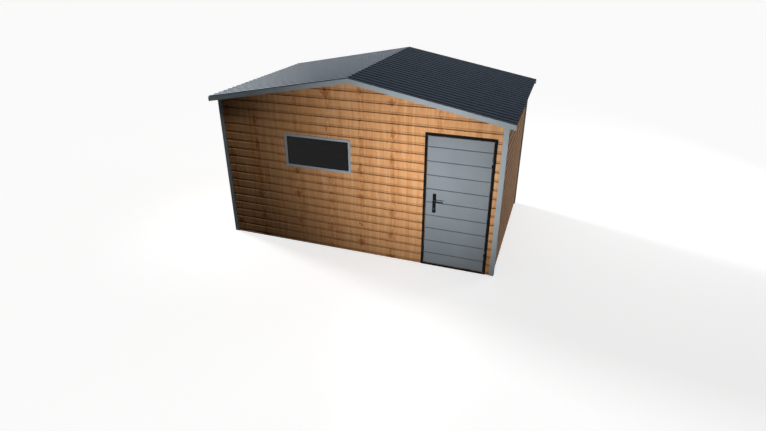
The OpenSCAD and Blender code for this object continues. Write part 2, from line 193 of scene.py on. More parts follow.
# The string of knots that a point belongs to, that string's chances, and how far aside of it the point lies
def nearestString(tree, across):
    look = knotStrings
    gap = look["gap"] * mm
    cells = addNode(tree, "Math", {0: across, 1: 1 / gap, 2: look["start"]}, operation="MULTIPLY_ADD")
    cell = addNode(tree, "Math", {0: cells}, operation="FLOOR")
    column = addNode(tree, "Math", {0: cell, 1: float(look["count"])}, operation="FLOORED_MODULO")
    chance = addNode(tree, "TexWhiteNoise", {"W": column}, noise_dimensions="1D")
    chance = addNode(tree, "SeparateColor", {0: chance.outputs["Color"]})
    least, added = look["place"]
    shift = addNode(tree, "Math", {0: chance.outputs[0], 1: added, 2: least}, operation="MULTIPLY_ADD")
    middle = addNode(tree, "Math", {0: cell, 1: shift}, operation="ADD")
    offset = addNode(tree, "Math", {0: cells, 1: middle}, operation="SUBTRACT")
    offset = addNode(tree, "Math", {0: offset, 1: gap}, operation="MULTIPLY")
    return column, chance, offset


# The knot that a point belongs to, one to each step of a string: its chances, and how far the point lies up
# from its middle and out to a side, in the knot's half sizes
def nearestKnot(tree, height, flat, column, chance, offset):
    look = knotStrings
    step = look["step"] * mm
    row = addNode(tree, "Math", {0: height, 1: 1 / step, 2: chance.outputs[1]}, operation="MULTIPLY_ADD")
    rowCell = addNode(tree, "Math", {0: row}, operation="FLOOR")
    cell = addNode(tree, "CombineXYZ", {0: column, 1: rowCell})
    spot = addNode(tree, "TexWhiteNoise", {"Vector": cell}, noise_dimensions="2D")
    spot = addNode(tree, "SeparateColor", {0: spot.outputs["Color"]})
    least, added = look["stepPlace"]
    middle = addNode(tree, "Math", {0: spot.outputs[0], 1: added, 2: least}, operation="MULTIPLY_ADD")
    least, added = look["size"]
    size = addNode(tree, "Math", {0: spot.outputs[1], 1: added, 2: least}, operation="MULTIPLY_ADD")
    halfAcross, halfAlong = (half * mm for half in look["half"])
    rise = addNode(tree, "Math", {0: row}, operation="FRACT")
    rise = addNode(tree, "Math", {0: rise, 1: middle}, operation="SUBTRACT")
    rise = addNode(tree, "Math", {0: rise, 1: step / halfAlong}, operation="MULTIPLY")
    rise = addNode(tree, "Math", {0: rise, 1: size}, operation="DIVIDE")
    waves, reach = look["ripple"]
    ripple = addNode(tree, "TexNoise", {"Vector": flat, "Scale": waves, "Detail": 1.0},
                     noise_dimensions="2D")
    ripple = addNode(tree, "Math", {0: ripple, 1: 2 * reach * mm, 2: -reach * mm}, operation="MULTIPLY_ADD")
    aside = addNode(tree, "Math", {0: spot.outputs[2], 1: look["aside"] * mm, 2: ripple},
                    operation="MULTIPLY_ADD")
    aside = addNode(tree, "Math", {0: offset, 1: aside}, operation="ADD")
    aside = addNode(tree, "Math", {0: aside}, operation="ABSOLUTE")
    aside = addNode(tree, "Math", {0: aside, 1: size}, operation="DIVIDE")
    aside = addNode(tree, "Math", {0: aside, 1: 1 / halfAcross}, operation="MULTIPLY")
    return spot, rise, aside


# A knot: a drop that points down, on some with two arms that meet below it and the pith as a stroke above
# it. Gives its mark, and a point's distance from the drop's middle
def knotMarks(tree, spot, rise, aside):
    look = knotStrings
    taper = addNode(tree, "MapRange", ramp(rise, look["taper"], look["footWidth"]))
    ratio = addNode(tree, "Math", {0: aside, 1: taper}, operation="DIVIDE")
    fromDrop = addNode(tree, "CombineXYZ", {0: ratio, 1: rise})
    drop = addNode(tree, "VectorMath", {0: fromDrop}, operation="LENGTH").outputs["Value"]
    mark = addNode(tree, "MapRange", ramp(drop, look["heart"], high=look["heartStrength"]),
                   interpolation_type="SMOOTHSTEP")
    arm = addNode(tree, "Math", {0: rise, 1: look["armSlope"], 2: 1.0}, operation="MULTIPLY_ADD")
    arm = addNode(tree, "Math", {0: aside, 1: arm}, operation="SUBTRACT")
    arm = addNode(tree, "Math", {0: arm}, operation="ABSOLUTE")
    armed = addNode(tree, "MapRange", ramp(spot.outputs[0], look["armChance"], high=look["armStrength"]))
    stroked = addNode(tree, "MapRange", ramp(spot.outputs[1], look["strokeChance"]))
    # each is as strong as its chance says and fades at its edge, top and foot
    for shown, fades in (
            (armed, ((arm, "armEdge", 1.0), (rise, "armTop", 1.0), (rise, "armFoot", 1.0))),
            (stroked, ((aside, "strokeEdge", 1.0), (rise, "strokeTop", look["strokeStrength"]),
                       (rise, "strokeFoot", 1.0)))):
        for value, ends, most in fades:
            fade = addNode(tree, "MapRange", ramp(value, look[ends], high=most),
                           interpolation_type="SMOOTHSTEP")
            shown = addNode(tree, "Math", {0: shown, 1: fade}, operation="MULTIPLY")
        mark = addNode(tree, "Math", {0: mark, 1: shown}, operation="MAXIMUM")
    strength = addNode(tree, "MapRange", ramp(spot.outputs[2], (0.0, 1.0), *look["strength"]))
    return addNode(tree, "Math", {0: mark, 1: strength}, operation="MULTIPLY"), drop


# Rings that close round the knots and run on as flames between them
def ringMarks(tree, height, column, offset, drop):
    look = growthRings
    upTrunk = addNode(tree, "CombineXYZ", {0: column, 1: height})
    upTrunk = addNode(tree, "VectorMath", {0: upTrunk, 1: look["pithScale"]}, operation="MULTIPLY")
    pith = addNode(tree, "TexNoise", {"Vector": upTrunk, "Scale": 1.0, "Detail": 1.5},
                   noise_dimensions="2D")
    stray = look["pithStray"] * mm
    pith = addNode(tree, "Math", {0: pith, 1: 2 * stray, 2: -stray}, operation="MULTIPLY_ADD")
    fromPith = addNode(tree, "CombineXYZ", {0: offset, 1: pith})
    radius = addNode(tree, "VectorMath", {0: fromPith}, operation="LENGTH")
    pull = addNode(tree, "MapRange", ramp(drop, look["pullReach"], high=look["pull"] * mm),
                   interpolation_type="SMOOTHSTEP")
    rings = addNode(tree, "Math", {0: radius.outputs["Value"], 1: pull}, operation="SUBTRACT")
    rings = addNode(tree, "Math", {0: rings, 1: 1 / (look["gap"] * mm)}, operation="MULTIPLY")
    rings = addNode(tree, "Math", {0: rings, 1: 1.0}, operation="PINGPONG")
    rings = addNode(tree, "Math", {0: rings, 1: look["sharpness"]}, operation="POWER")
    away = addNode(tree, "Math", {0: offset}, operation="ABSOLUTE")
    begin, whole = (reach * mm for reach in look["reach"])
    near = addNode(tree, "MapRange", ramp(away, (begin, whole), high=look["strength"]),
                   interpolation_type="SMOOTHSTEP")
    return addNode(tree, "Math", {0: rings, 1: near}, operation="MULTIPLY")


# The sheet of one wall: the axis that it runs along, the way that it faces, and the place of its face
def woodLookSheet(name, along, outward, face):
    look = woodPrint
    material, tree, shader, coords = newMaterial(name, Specular_IOR_Level=look["specular"])
    place = addNode(tree, "SeparateXYZ", {0: coords.outputs["Object"]})
    facing = addNode(tree, "SeparateXYZ", {0: coords.outputs["Normal"]})
    height = place.outputs["Z"]
    # slow wander of the grain, another on each pair of walls
    slow = addNode(tree, "CombineXYZ", {0: place.outputs[along], 1: height, 2: float(along)})
    wander = addNode(tree, "TexNoise", {"Vector": slow, "Scale": look["bends"], "Detail": 1.0},
                     noise_dimensions="3D")
    stray = look["stray"] * mm
    wander = addNode(tree, "Math", {0: wander, 1: 2 * stray, 2: -stray}, operation="MULTIPLY_ADD")
    across = addNode(tree, "Math", {0: place.outputs[along], 1: wander}, operation="ADD")
    flat = addNode(tree, "CombineXYZ", {0: across, 1: height})
    tone, grain = grainTone(tree, flat)
    dark, mid, pale = look["tones"]
    lower = addNode(tree, "MapRange", ramp(tone, (dark, mid)))
    upper = addNode(tree, "MapRange", ramp(tone, (mid, pale)))
    body = addNode(tree, "Mix", {"Factor": lower, "A": look["dark"], "B": look["mid"]}, data_type="RGBA")
    body = addNode(tree, "Mix", {"Factor": upper, "A": body, "B": look["pale"]}, data_type="RGBA")
    column, chance, offset = nearestString(tree, across)
    spot, rise, aside = nearestKnot(tree, height, flat, column, chance, offset)
    knots, drop = knotMarks(tree, spot, rise, aside)
    rings = ringMarks(tree, height, column, offset, drop)
    body = addNode(tree, "Mix", {"Factor": rings, "A": body, "B": growthRings["colour"]}, data_type="RGBA")
    body = addNode(tree, "Mix", {"Factor": knots, "A": body, "B": knotStrings["colour"]}, data_type="RGBA")
    # painted shade in the bottom of the grooves, darker the deeper a face lies
    depth = addNode(tree, "Math", {0: place.outputs[1 - along], 1: face}, operation="SUBTRACT")
    depth = addNode(tree, "Math", {0: depth}, operation="ABSOLUTE")
    begin, thickest = (behind * mm for behind in look["grooveDepth"])
    paintedShade = addNode(tree, "MapRange", ramp(depth, (begin, thickest), high=look["grooveShade"]))
    unshaded = addNode(tree, "Math", {0: 1.0, 1: paintedShade}, operation="SUBTRACT")
    body = addNode(tree, "VectorMath", {0: body, "Scale": unshaded}, operation="SCALE")
    # grey coat on the room's side
    inward = addNode(tree, "Math", {0: facing.outputs[1 - along], 1: -outward}, operation="MULTIPLY")
    inward = addNode(tree, "Math", {0: inward, 1: turnedPast}, operation="GREATER_THAN")
    body = addNode(tree, "Mix", {"Factor": inward, "A": body, "B": look["backCoat"]}, data_type="RGBA")
    feed(tree, shader.inputs["Base Color"], body)
    least, added = look["roughness"]
    rough = addNode(tree, "Math", {0: tone, 1: added, 2: least}, operation="MULTIPLY_ADD")
    feed(tree, shader.inputs["Roughness"], rough)
    normal = addNode(tree, "NewGeometry").outputs["Normal"]
    lips = addNode(tree, "VectorMath", {0: normal, 1: (1, 1, look["lip"])}, operation="MULTIPLY")
    lips = addNode(tree, "VectorMath", {0: lips}, operation="NORMALIZE")
    bump = addNode(tree, "Bump", {"Height": grain, "Strength": look["reliefStrength"],
                                  "Distance": look["relief"] * mm, "Normal": lips})
    feed(tree, shader.inputs["Normal"], bump)
    return material


paintFilm = {
    "clouds": 3.0,              # to a metre
    "cloudEdges": (0.3, 0.7),   # noise at which a cloud is darkest and palest
    "glossSpread": 0.04,        # roughness that a cloud adds or takes
    "peelDepth": 0.1,           # mm
    "peelStrength": 0.15,
}


# Baked paint on steel: orange peel, faint clouds in the colour, and painted shade where faces lie back in a
# groove. The peel is its waves' width in mm
def paintedSteel(name, colour, roughness, peel=1.6, clouds=0.06, grooves=None, underside=None, **sockets):
    look = paintFilm
    material, tree, shader, coords = newMaterial(name, **sockets)
    onPiece = coords.outputs["Object"]
    cloud = addNode(tree, "TexNoise", {"Vector": onPiece, "Scale": look["clouds"], "Detail": 4.0})
    tint = addNode(tree, "MapRange", ramp(cloud, look["cloudEdges"], 1 - clouds, 1 + clouds))
    plain = tuple(linearColour(colour)[:3])
    body = addNode(tree, "VectorMath", {0: plain, "Scale": tint}, operation="SCALE")
    # painted shade: the further a face lies back in a groove, the darker its colour
    if grooves:
        place = addNode(tree, "SeparateXYZ", {0: onPiece})
        back = addNode(tree, "MapRange", ramp(place.outputs["Y"], grooves["depth"], 1.0, grooves["shade"]))
        body = addNode(tree, "VectorMath", {0: body, "Scale": back}, operation="SCALE")
    if underside:
        facing = addNode(tree, "SeparateXYZ", {0: coords.outputs["Normal"]})
        under = addNode(tree, "Math", {0: facing.outputs["Z"], 1: -turnedPast}, operation="LESS_THAN")
        body = addNode(tree, "Mix", {"Factor": under, "A": body, "B": underside}, data_type="RGBA")
    feed(tree, shader.inputs["Base Color"], body)
    glossy, dull = roughness - look["glossSpread"], roughness + look["glossSpread"]
    rough = addNode(tree, "MapRange", ramp(cloud, look["cloudEdges"], glossy, dull))
    feed(tree, shader.inputs["Roughness"], rough)
    skin = addNode(tree, "TexNoise", {"Vector": onPiece, "Scale": 1 / (peel * mm), "Detail": 1.0})
    bump = addNode(tree, "Bump", {"Height": skin, "Strength": look["peelStrength"],
                                  "Distance": look["peelDepth"] * mm})
    feed(tree, shader.inputs["Normal"], bump)
    return material


zincCoat = {"spangle": 14, "dull": "#8c9195", "bright": "#b2b6b8", "roughness": (0.34, 0.5)}


# Hot-dip zinc on the frame's tubes: grey metal with spangles, in mm, that differ a little in tone and gloss
def galvanisedTube(name):
    look = zincCoat
    material, tree, shader, coords = newMaterial(name, Metallic=0.9)
    spangle = addNode(tree, "TexVoronoi", {"Vector": coords.outputs["Object"],
                                           "Scale": 1 / (look["spangle"] * mm)})
    tone = addNode(tree, "SeparateColor", {0: spangle.outputs["Color"]})
    body = addNode(tree, "Mix", {"Factor": tone.outputs[0], "A": look["dull"], "B": look["bright"]},
                   data_type="RGBA")
    feed(tree, shader.inputs["Base Color"], body)
    rough = addNode(tree, "MapRange", ramp(tone.outputs[1], (0.0, 1.0), *look["roughness"]))
    feed(tree, shader.inputs["Roughness"], rough)
    return material


woodFront = woodLookSheet("pine film sheet front", 0, -1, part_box("front_wall_left")[0].y)
woodBack = woodLookSheet("pine film sheet back", 0, 1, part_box("back_wall")[1].y)
woodLeft = woodLookSheet("pine film sheet left", 1, -1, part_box("left_wall")[0].x)
woodRight = woodLookSheet("pine film sheet right", 1, 1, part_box("right_wall")[1].x)

# Coil-coated roof sheet: dark slate, matt from above, with a film that mirrors the sky at low angles, and
# a primer grey underside
roofPaint = paintedSteel("matt polyester roof paint", "#323b46", 0.5, peel=70, underside="#8b8f90",
                         Specular_IOR_Level=0.0, Coat_Weight=1.0, Coat_Roughness=0.12, Coat_IOR=1.55)
# Folded trims: light grey coil coating with a low sheen
trimPaint = paintedSteel("polyester trim paint", "#91999d", 0.46, Specular_IOR_Level=0.15)
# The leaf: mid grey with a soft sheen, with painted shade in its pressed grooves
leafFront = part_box("door_skin")[0].y
leafGrooveShade = {"depth": (leafFront + 0.2 * mm, leafFront + 1.4 * mm), "shade": 0.4}
leafPaint = paintedSteel("polyester leaf paint", "#71787d", 0.5, grooves=leafGrooveShade,
                         Specular_IOR_Level=0.25)
# Powder on the door frame: near black, fine peel, hardly any sheen
blackPowder = paintedSteel("black powder coat", "#111212", 0.5, peel=1.2, Specular_IOR_Level=0.06)
# Enamel on the handles: near black, a little smoother than the frame
handleBlack = paintedSteel("black handle enamel", "#0e0f10", 0.42, peel=0.8, Specular_IOR_Level=0.08)
# Foil pressed on the window's profile: cool light grey with a fine grain
windowFoil = paintedSteel("foiled window profile", "#87919a", 0.5, peel=2.5, Specular_IOR_Level=0.25)
zinc = galvanisedTube("galvanised tube")
# Float glass whose dark tint is painted shade: near black from outside, as the room behind is dark too
glass = newMaterial("tinted pane", Base_Color="#2c3031", Roughness=0.03, IOR=1.28, Transmission_Weight=1.0,
                    Specular_IOR_Level=0.1)[0]
# Plated lock parts: nickel dulled by use, and a cleaner satin one on the levers' collars
nickel = newMaterial("dulled nickel plate", Base_Color="#505356", Metallic=1.0, Roughness=0.3)[0]
collarNickel = paintedSteel("satin nickel collar", "#8a8d90", 0.24, peel=0.7, Metallic=1.0)
# Moulded gasket rubber: black and dull; also the black of the keyways, which is painted shade
rubber = paintedSteel("black gasket rubber", "#151515", 0.7, peel=0.6, Specular_IOR_Level=0.3)
# Zinc plate on the lock's forend and strike: pale, even metal
pinSteel = paintedSteel("bright zinc plate", "#9da0a2", 0.35, peel=0.9, Metallic=0.9)

slotLooks = {
    "roof_sheet": roofPaint,
    "trim_steel": trimPaint,
    "frame_tube": zinc,
    "window_profile": windowFoil,
    "window_glass": glass,
    "black_steel": blackPowder,
    "door_steel": leafPaint,
    "black_handle": handleBlack,
    "lock_brass": nickel,
    "wood_look_sheet": woodFront,
}
nodeLooks = {"back_wall": woodBack, "left_wall": woodLeft, "right_wall": woodRight,
             "door_stops": blackPowder, "hinge_knuckles": leafPaint}
for row in frame["record"]["subparts"]:
    node = nodes[row["node"]]
    node.data.materials.clear()
    node.data.materials.append(nodeLooks.get(row["node"], slotLooks[row["material_slot"]]))

print("bevels on the tubes, the door frame and the window frame")
tubeEdge = {"radius": 2.0, "segments": 2, "angle": 40, "weld": 0.05}     # mm and degrees
# share of that radius; the hinges and the base rails stay as they are
softEdged = {"frame_tube": 1.0, "black_steel": 0.6, "window_profile": 0.9}
notSoftened = ("hinge_pins", "hinge_knuckles", "base_rails")
for row in frame["record"]["subparts"]:
    share = softEdged.get(row["material_slot"])
    if share and row["node"] not in notSoftened:
        node = nodes[row["node"]]
        weld = node.modifiers.new("weld", "WELD")
        weld.merge_threshold = tubeEdge["weld"] * mm
        bevel = node.modifiers.new("bevel", "BEVEL")
        bevel.width = tubeEdge["radius"] * share * mm
        bevel.segments = tubeEdge["segments"]
        bevel.loop_slide = False
        bevel.limit_method = "ANGLE"
        bevel.angle_limit = math.radians(tubeEdge["angle"])

# mm between doubles, and degrees up to which an edge is shaded smooth
finish = {"merge": 0.002, "smooth": 40}


# Makes the object of a modelled piece and says what it rides on
def finishPiece(name, shape, material, body, replaced=()):
    bmesh.ops.remove_doubles(shape, verts=shape.verts, dist=finish["merge"] * mm)
    # each ring drawn out of another leaves its first face inside
    inner = [face for face in shape.faces if all(len(edge.link_faces) > 2 for edge in face.edges)]
    bmesh.ops.delete(shape, geom=inner, context="FACES_ONLY")
    bmesh.ops.recalc_face_normals(shape, faces=shape.faces)
    mesh = bpy.data.meshes.new(name)
    shape.to_mesh(mesh)
    shape.free()
    mesh.materials.append(material)
    mesh.shade_smooth()
    mesh.set_sharp_from_angle(angle=math.radians(finish["smooth"]))
    piece = bpy.data.objects.new(name, mesh)
    bpy.context.scene.collection.objects.link(piece)
    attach(piece, body)
    if replaced:
        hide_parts(*replaced)


def edgesOf(verts):
    return list({edge for vert in verts for edge in vert.link_edges})


def bevelEdges(shape, edges, radius, segments):
    bmesh.ops.bevel(shape, geom=edges, offset=radius, segments=segments, affect="EDGES", profile=0.5,
                    material=-1)


# A block between two corners, with its edges eased
def addBlock(shape, low, high, ease=0.0, segments=2):
    low, high = Vector(low), Vector(high)
    made = bmesh.ops.create_cube(shape, size=1)["verts"]
    bmesh.ops.scale(shape, vec=high - low, verts=made)
    bmesh.ops.translate(shape, vec=(low + high) / 2, verts=made)
    if ease:
        bevelEdges(shape, edgesOf(made), ease, segments)
    return made


# Draws a face out by nothing and gives the new one, for the next ring of a turned shape
def nextRing(shape, face):
    grown = bmesh.ops.extrude_face_region(shape, geom=[face])["geom"]
    return next(part for part in grown if isinstance(part, bmesh.types.BMFace))


# A turned shape: rings of (distance, radius) in mm along a direction from its foot. Gives its last face
def addTurned(shape, rings, foot, direction, sides=24):
    made = bmesh.ops.create_circle(shape, cap_ends=True, segments=sides, radius=rings[0][1] * mm)["verts"]
    bmesh.ops.translate(shape, vec=(0, 0, rings[0][0] * mm), verts=made)
    face = made[0].link_faces[0]
    for (lastAt, lastRadius), (at, radius) in zip(rings, rings[1:]):
        face = nextRing(shape, face)
        ring = list(face.verts)
        bmesh.ops.scale(shape, vec=(radius / lastRadius, radius / lastRadius, 1), verts=ring)
        bmesh.ops.translate(shape, vec=(0, 0, (at - lastAt) * mm), verts=ring)
        made = made + ring
    turn = Vector(direction).to_track_quat("Z", "Y").to_matrix().to_4x4()
    bmesh.ops.transform(shape, matrix=Matrix.Translation(foot) @ turn, verts=made)
    return face


print("door furniture")
plateLow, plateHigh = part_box("handle_plates")
lockLow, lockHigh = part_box("lock_cylinder")
spindle = jointAt["lever_turn"]
furniture = {
    "thickness": 8,         # of a plate, mm
    "corner": 9,            # radius of a plate's corners
    "rim": 1.6,             # rounding of its rim
    "screwInset": 15,       # from a plate's end to its screw
    "lockRise": 63,         # from a plate's foot to the lock cylinder
    "spindle": 8,           # square bar from lever to lever
    "bar": 8.0,             # radius of a lever where it bends
    "bend": 11,             # radius of the bend's middle line
    # rings of (distance from the plate's face, radius)
    "collar": ((-1, 13), (0.8, 13), (2.0, 12), (3.0, 10.2), (3.2, 9)),
    "screw": ((-1, 4.4), (0.5, 4.4), (1.0, 3.8), (1.0, 2.0), (0.1, 1.9)),
    "plug": ((-1, 7.9), (0.3, 7.9), (0.6, 7.5), (0.6, 6.4), (0.1, 6.2), (0.1, 5.9), (0.5, 5.6)),
    "neck": ((0, 8.6), (4, 8.6), (8, 8.0)),
    # along a lever from the bend to the tip: share of the way, radius
    "grip": ((0.12, 7.4), (0.45, 6.9), (0.8, 7.4), (0.92, 7.6)),
    "tip": ((0.955, 7.1), (0.98, 5.9), (0.994, 4.0), (1.0, 1.6)),
    "keywayShade": (1.3, 7.2, 0.7),     # the keyway as a black block of painted shade: width, height, and how far it stands out
    "slotEase": 0.1,
}
# of each side of the leaf: the plate's face, its back, and the way that it looks along Y
doorSides = {
    "outside": (plateLow.y, plateLow.y + furniture["thickness"] * mm, -1),
    "inside": (plateHigh.y, plateHigh.y - furniture["thickness"] * mm, 1),
}
collars = bmesh.new()
for side, (face, back, sign) in doorSides.items():
    shape = bmesh.new()
    made = addBlock(shape, (plateLow.x, min(face, back), plateLow.z),
                    (plateHigh.x, max(face, back), plateHigh.z))
    corners = [e for e in edgesOf(made) if abs(e.verts[0].co.y - e.verts[1].co.y) > samePlace]
    bevelEdges(shape, corners, furniture["corner"] * mm, segments=6)
    rim = [e for e in shape.edges if all(abs(v.co.y - face) < samePlace for v in e.verts)]
    bevelEdges(shape, rim, furniture["rim"] * mm, segments=3)
    addTurned(collars, furniture["collar"], (spindle.x, face, spindle.z), (0, sign, 0), sides=32)
    for z in (plateLow.z + furniture["screwInset"] * mm, plateHigh.z - furniture["screwInset"] * mm):
        addTurned(shape, furniture["screw"], (spindle.x, face, z), (0, sign, 0), sides=18)
    replaced = ("handle_plates",) if side == "outside" else ()
    finishPiece("handle_plate_" + side, shape, handleBlack, "door", replaced)
finishPiece("lever_collars", collars, collarNickel, "door")

# A lever: a neck out of the plate, a quarter bend, and a grip along the door to a rounded tip
for side, (face, back, sign) in doorSides.items():
    node = "lever_" + side
    leverLow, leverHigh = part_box(node)
    bend = furniture["bend"] * mm
    barY = (leverLow.y if side == "outside" else leverHigh.y) - sign * furniture["bar"] * mm
    reach = leverHigh.x - spindle.x - bend
    shape = bmesh.new()
    neck = furniture["neck"] + (((abs(barY - face) - bend) / mm, furniture["bar"]),)
    end = addTurned(shape, neck, (spindle.x, face, spindle.z), (0, sign, 0))
    pivot = (spindle.x + bend, barY - sign * bend, spindle.z)
    turned = bmesh.ops.spin(shape, geom=[end], cent=pivot, axis=(0, 0, 1), angle=-sign * math.pi / 2,
                            steps=8)
    end = next(part for part in turned["geom_last"] if isinstance(part, bmesh.types.BMFace))
    lastShare, lastRadius = 0.0, furniture["bar"]
    for share, radius in furniture["grip"] + furniture["tip"]:
        end = nextRing(shape, end)
        ring = list(end.verts)
        centre = Matrix.Translation(-end.calc_center_median())
        bmesh.ops.scale(shape, vec=(1, radius / lastRadius, radius / lastRadius), space=centre, verts=ring)
        bmesh.ops.translate(shape, vec=((share - lastShare) * reach, 0, 0), verts=ring)
        lastShare, lastRadius = share, radius
    if side == "outside":
        half = furniture["spindle"] * mm / 2
        addBlock(shape, (spindle.x - half, plateLow.y, spindle.z - half),
                 (spindle.x + half, plateHigh.y, spindle.z + half))
    finishPiece(node + "_turned", shape, handleBlack, "door_lever", (node,))

lockZ = plateLow.z + furniture["lockRise"] * mm
wide, tall, proud = (size * mm for size in furniture["keywayShade"])
# each keyway is a thin black block standing out from its plug: painted shade for the keyway's hollow
plugs, keywayShades = bmesh.new(), bmesh.new()
for face, sign in ((lockLow.y, -1), (lockHigh.y, 1)):
    addTurned(plugs, furniture["plug"], (spindle.x, face, lockZ), (0, sign, 0), sides=28)
    front = face + sign * proud
    addBlock(keywayShades, (spindle.x - wide / 2, min(face, front), lockZ - tall / 2),
             (spindle.x + wide / 2, max(face, front), lockZ + tall / 2),
             furniture["slotEase"] * mm, segments=1)
finishPiece("lock_plugs", plugs, nickel, "door")
finishPiece("keyway_shades", keywayShades, rubber, "door")

print("lock forend, strike plate and door liner")
jambLow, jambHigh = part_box("door_jamb_left")
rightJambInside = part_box("door_jamb_right")[0].x
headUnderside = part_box("door_head")[0].z
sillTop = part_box("door_sill")[1].z
stileLow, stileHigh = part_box("door_stiles")
forend = {
    "width": 22,
    "height": 235,
    "thickness": 1.2,
    "strike": 0.9,          # thickness of the strike plate
    "sunk": 0.5,            # how far the forend reaches into the stile
    "drop": 42,             # from the spindle down to its middle
    "bolts": (0, 80),       # from the spindle down to the latch and the bolt
    "bolt": (3.2, 12, 32),      # how far those stand out, their width and height
    "screwInset": 12,
    "screw": ((0, 3.6), (0.3, 3.6), (0.7, 2.8), (0.7, 1.4), (0.2, 1.3)),
    "ease": {"forend": 0.4, "bolt": 1.0, "strike": 0.3},
}
middleY = (stileLow.y + stileHigh.y) / 2
halfWidth, halfHeight = forend["width"] * mm / 2, forend["height"] * mm / 2
middleZ = spindle.z - forend["drop"] * mm
foot, top = middleZ - halfHeight, middleZ + halfHeight
forendFace = stileLow.x - forend["thickness"] * mm
shape = bmesh.new()
addBlock(shape, (forendFace, middleY - halfWidth, foot),
         (stileLow.x + forend["sunk"] * mm, middleY + halfWidth, top), forend["ease"]["forend"] * mm)
proud, wide, tall = (size * mm for size in forend["bolt"])
for drop in forend["bolts"]:
    z = spindle.z - drop * mm
    addBlock(shape, (stileLow.x - proud, middleY - wide / 2, z - tall / 2),
             (stileLow.x, middleY + wide / 2, z + tall / 2), forend["ease"]["bolt"] * mm)
for z in (foot + forend["screwInset"] * mm, top - forend["screwInset"] * mm):
    addTurned(shape, forend["screw"], (forendFace, middleY, z), (-1, 0, 0), sides=16)
finishPiece("lock_forend", shape, pinSteel, "door")

liner = {
    "thickness": 1.0,
    "joint": 0.03,          # between its sides and its ends
    "behindFrame": 0.5,     # from the frame's face to the liner's edge
    "beforeStops": 0.2,
    "ease": 0.3,
}
skin = liner["thickness"] * mm
front = jambLow.y + liner["behindFrame"] * mm
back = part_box("door_stops")[0].y - liner["beforeStops"] * mm
left, right = jambHigh.x + skin, rightJambInside - skin
endLeft, endRight = left + liner["joint"] * mm, right - liner["joint"] * mm
shape = bmesh.new()
for lowX, highX, lowZ, highZ in (
        (jambHigh.x, left, sillTop, headUnderside),
        (right, rightJambInside, sillTop, headUnderside),
        (endLeft, endRight, headUnderside - skin, headUnderside),
        (endLeft, endRight, sillTop, sillTop + skin)):
    addBlock(shape, (lowX, front, lowZ), (highX, back, highZ), liner["ease"] * mm, segments=1)
finishPiece("door_liner", shape, woodFront, "root")
shape = bmesh.new()
addBlock(shape, (left, middleY - halfWidth, foot),
         (left + forend["strike"] * mm, middleY + halfWidth, top), forend["ease"]["strike"] * mm)
finishPiece("strike_plate", shape, pinSteel, "root")

print("hinge caps")
hinge = {
    "knuckle": 42,          # height of one knuckle, mm
    "pinAbove": 41,         # how far a pin stands above its lower knuckle
    "cap": ((-0.5, 7.6), (0.3, 7.6), (1.2, 7.0), (2.0, 5.4), (2.4, 3.0)),
}
hingeAt = jointAt["door_hinge"]
pinLow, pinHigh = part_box("hinge_pins")
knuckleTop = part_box("hinge_knuckles")[1].z
hingeRise = pinHigh.z - hinge["pinAbove"] * mm - (pinLow.z + hinge["knuckle"] * mm)
caps, topCaps = bmesh.new(), bmesh.new()
for lift in (0, hingeRise):
    addTurned(caps, hinge["cap"], (hingeAt.x, hingeAt.y, pinLow.z + lift), (0, 0, -1))
    addTurned(topCaps, hinge["cap"], (hingeAt.x, hingeAt.y, knuckleTop - lift), (0, 0, 1))
finishPiece("hinge_caps_lower", caps, blackPowder, "root")
finishPiece("hinge_caps_upper", topCaps, leafPaint, "door")

print("window gasket")
frameLow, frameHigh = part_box("window_frame")
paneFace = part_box("window_pane")[0].y
gasket = {"frameFace": 32, "width": 4.0, "proud": 2.6, "round": 1.0}
frameFace = Vector((1, 1, 1)) * gasket["frameFace"] * mm
openLow, openHigh = frameLow + frameFace, frameHigh - frameFace
middle = (openLow + openHigh) / 2
shape = bmesh.new()
made = bmesh.ops.create_grid(shape, x_segments=1, y_segments=1, size=0.5)["verts"]
bmesh.ops.rotate(shape, matrix=Matrix.Rotation(math.pi / 2, 3, "X"), verts=made)
bmesh.ops.scale(shape, vec=(openHigh.x - openLow.x, 1, openHigh.z - openLow.z), verts=made)
bmesh.ops.translate(shape, vec=(middle.x, paneFace, middle.z), verts=made)
pane = shape.faces[:]
bmesh.ops.inset_region(shape, faces=pane, thickness=gasket["width"] * mm, use_boundary=True,
                       use_even_offset=True)
bmesh.ops.delete(shape, geom=pane, context="FACES")
grown = bmesh.ops.extrude_face_region(shape, geom=shape.faces[:], use_keep_orig=True)["geom"]
raised = [part for part in grown if isinstance(part, bmesh.types.BMVert)]
bmesh.ops.translate(shape, vec=(0, -gasket["proud"] * mm, 0), verts=raised)
front = paneFace - gasket["proud"] * mm
inner = [e for e in shape.edges if all(abs(v.co.y - front) < samePlace
                                       and openLow.x + samePlace < v.co.x < openHigh.x - samePlace
                                       for v in e.verts)]
bevelEdges(shape, inner, gasket["round"] * mm, segments=3)
finishPiece("window_gasket", shape, rubber, "root")

print("roof screws and rivets")
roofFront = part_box("roof_sheet_right")[0].y
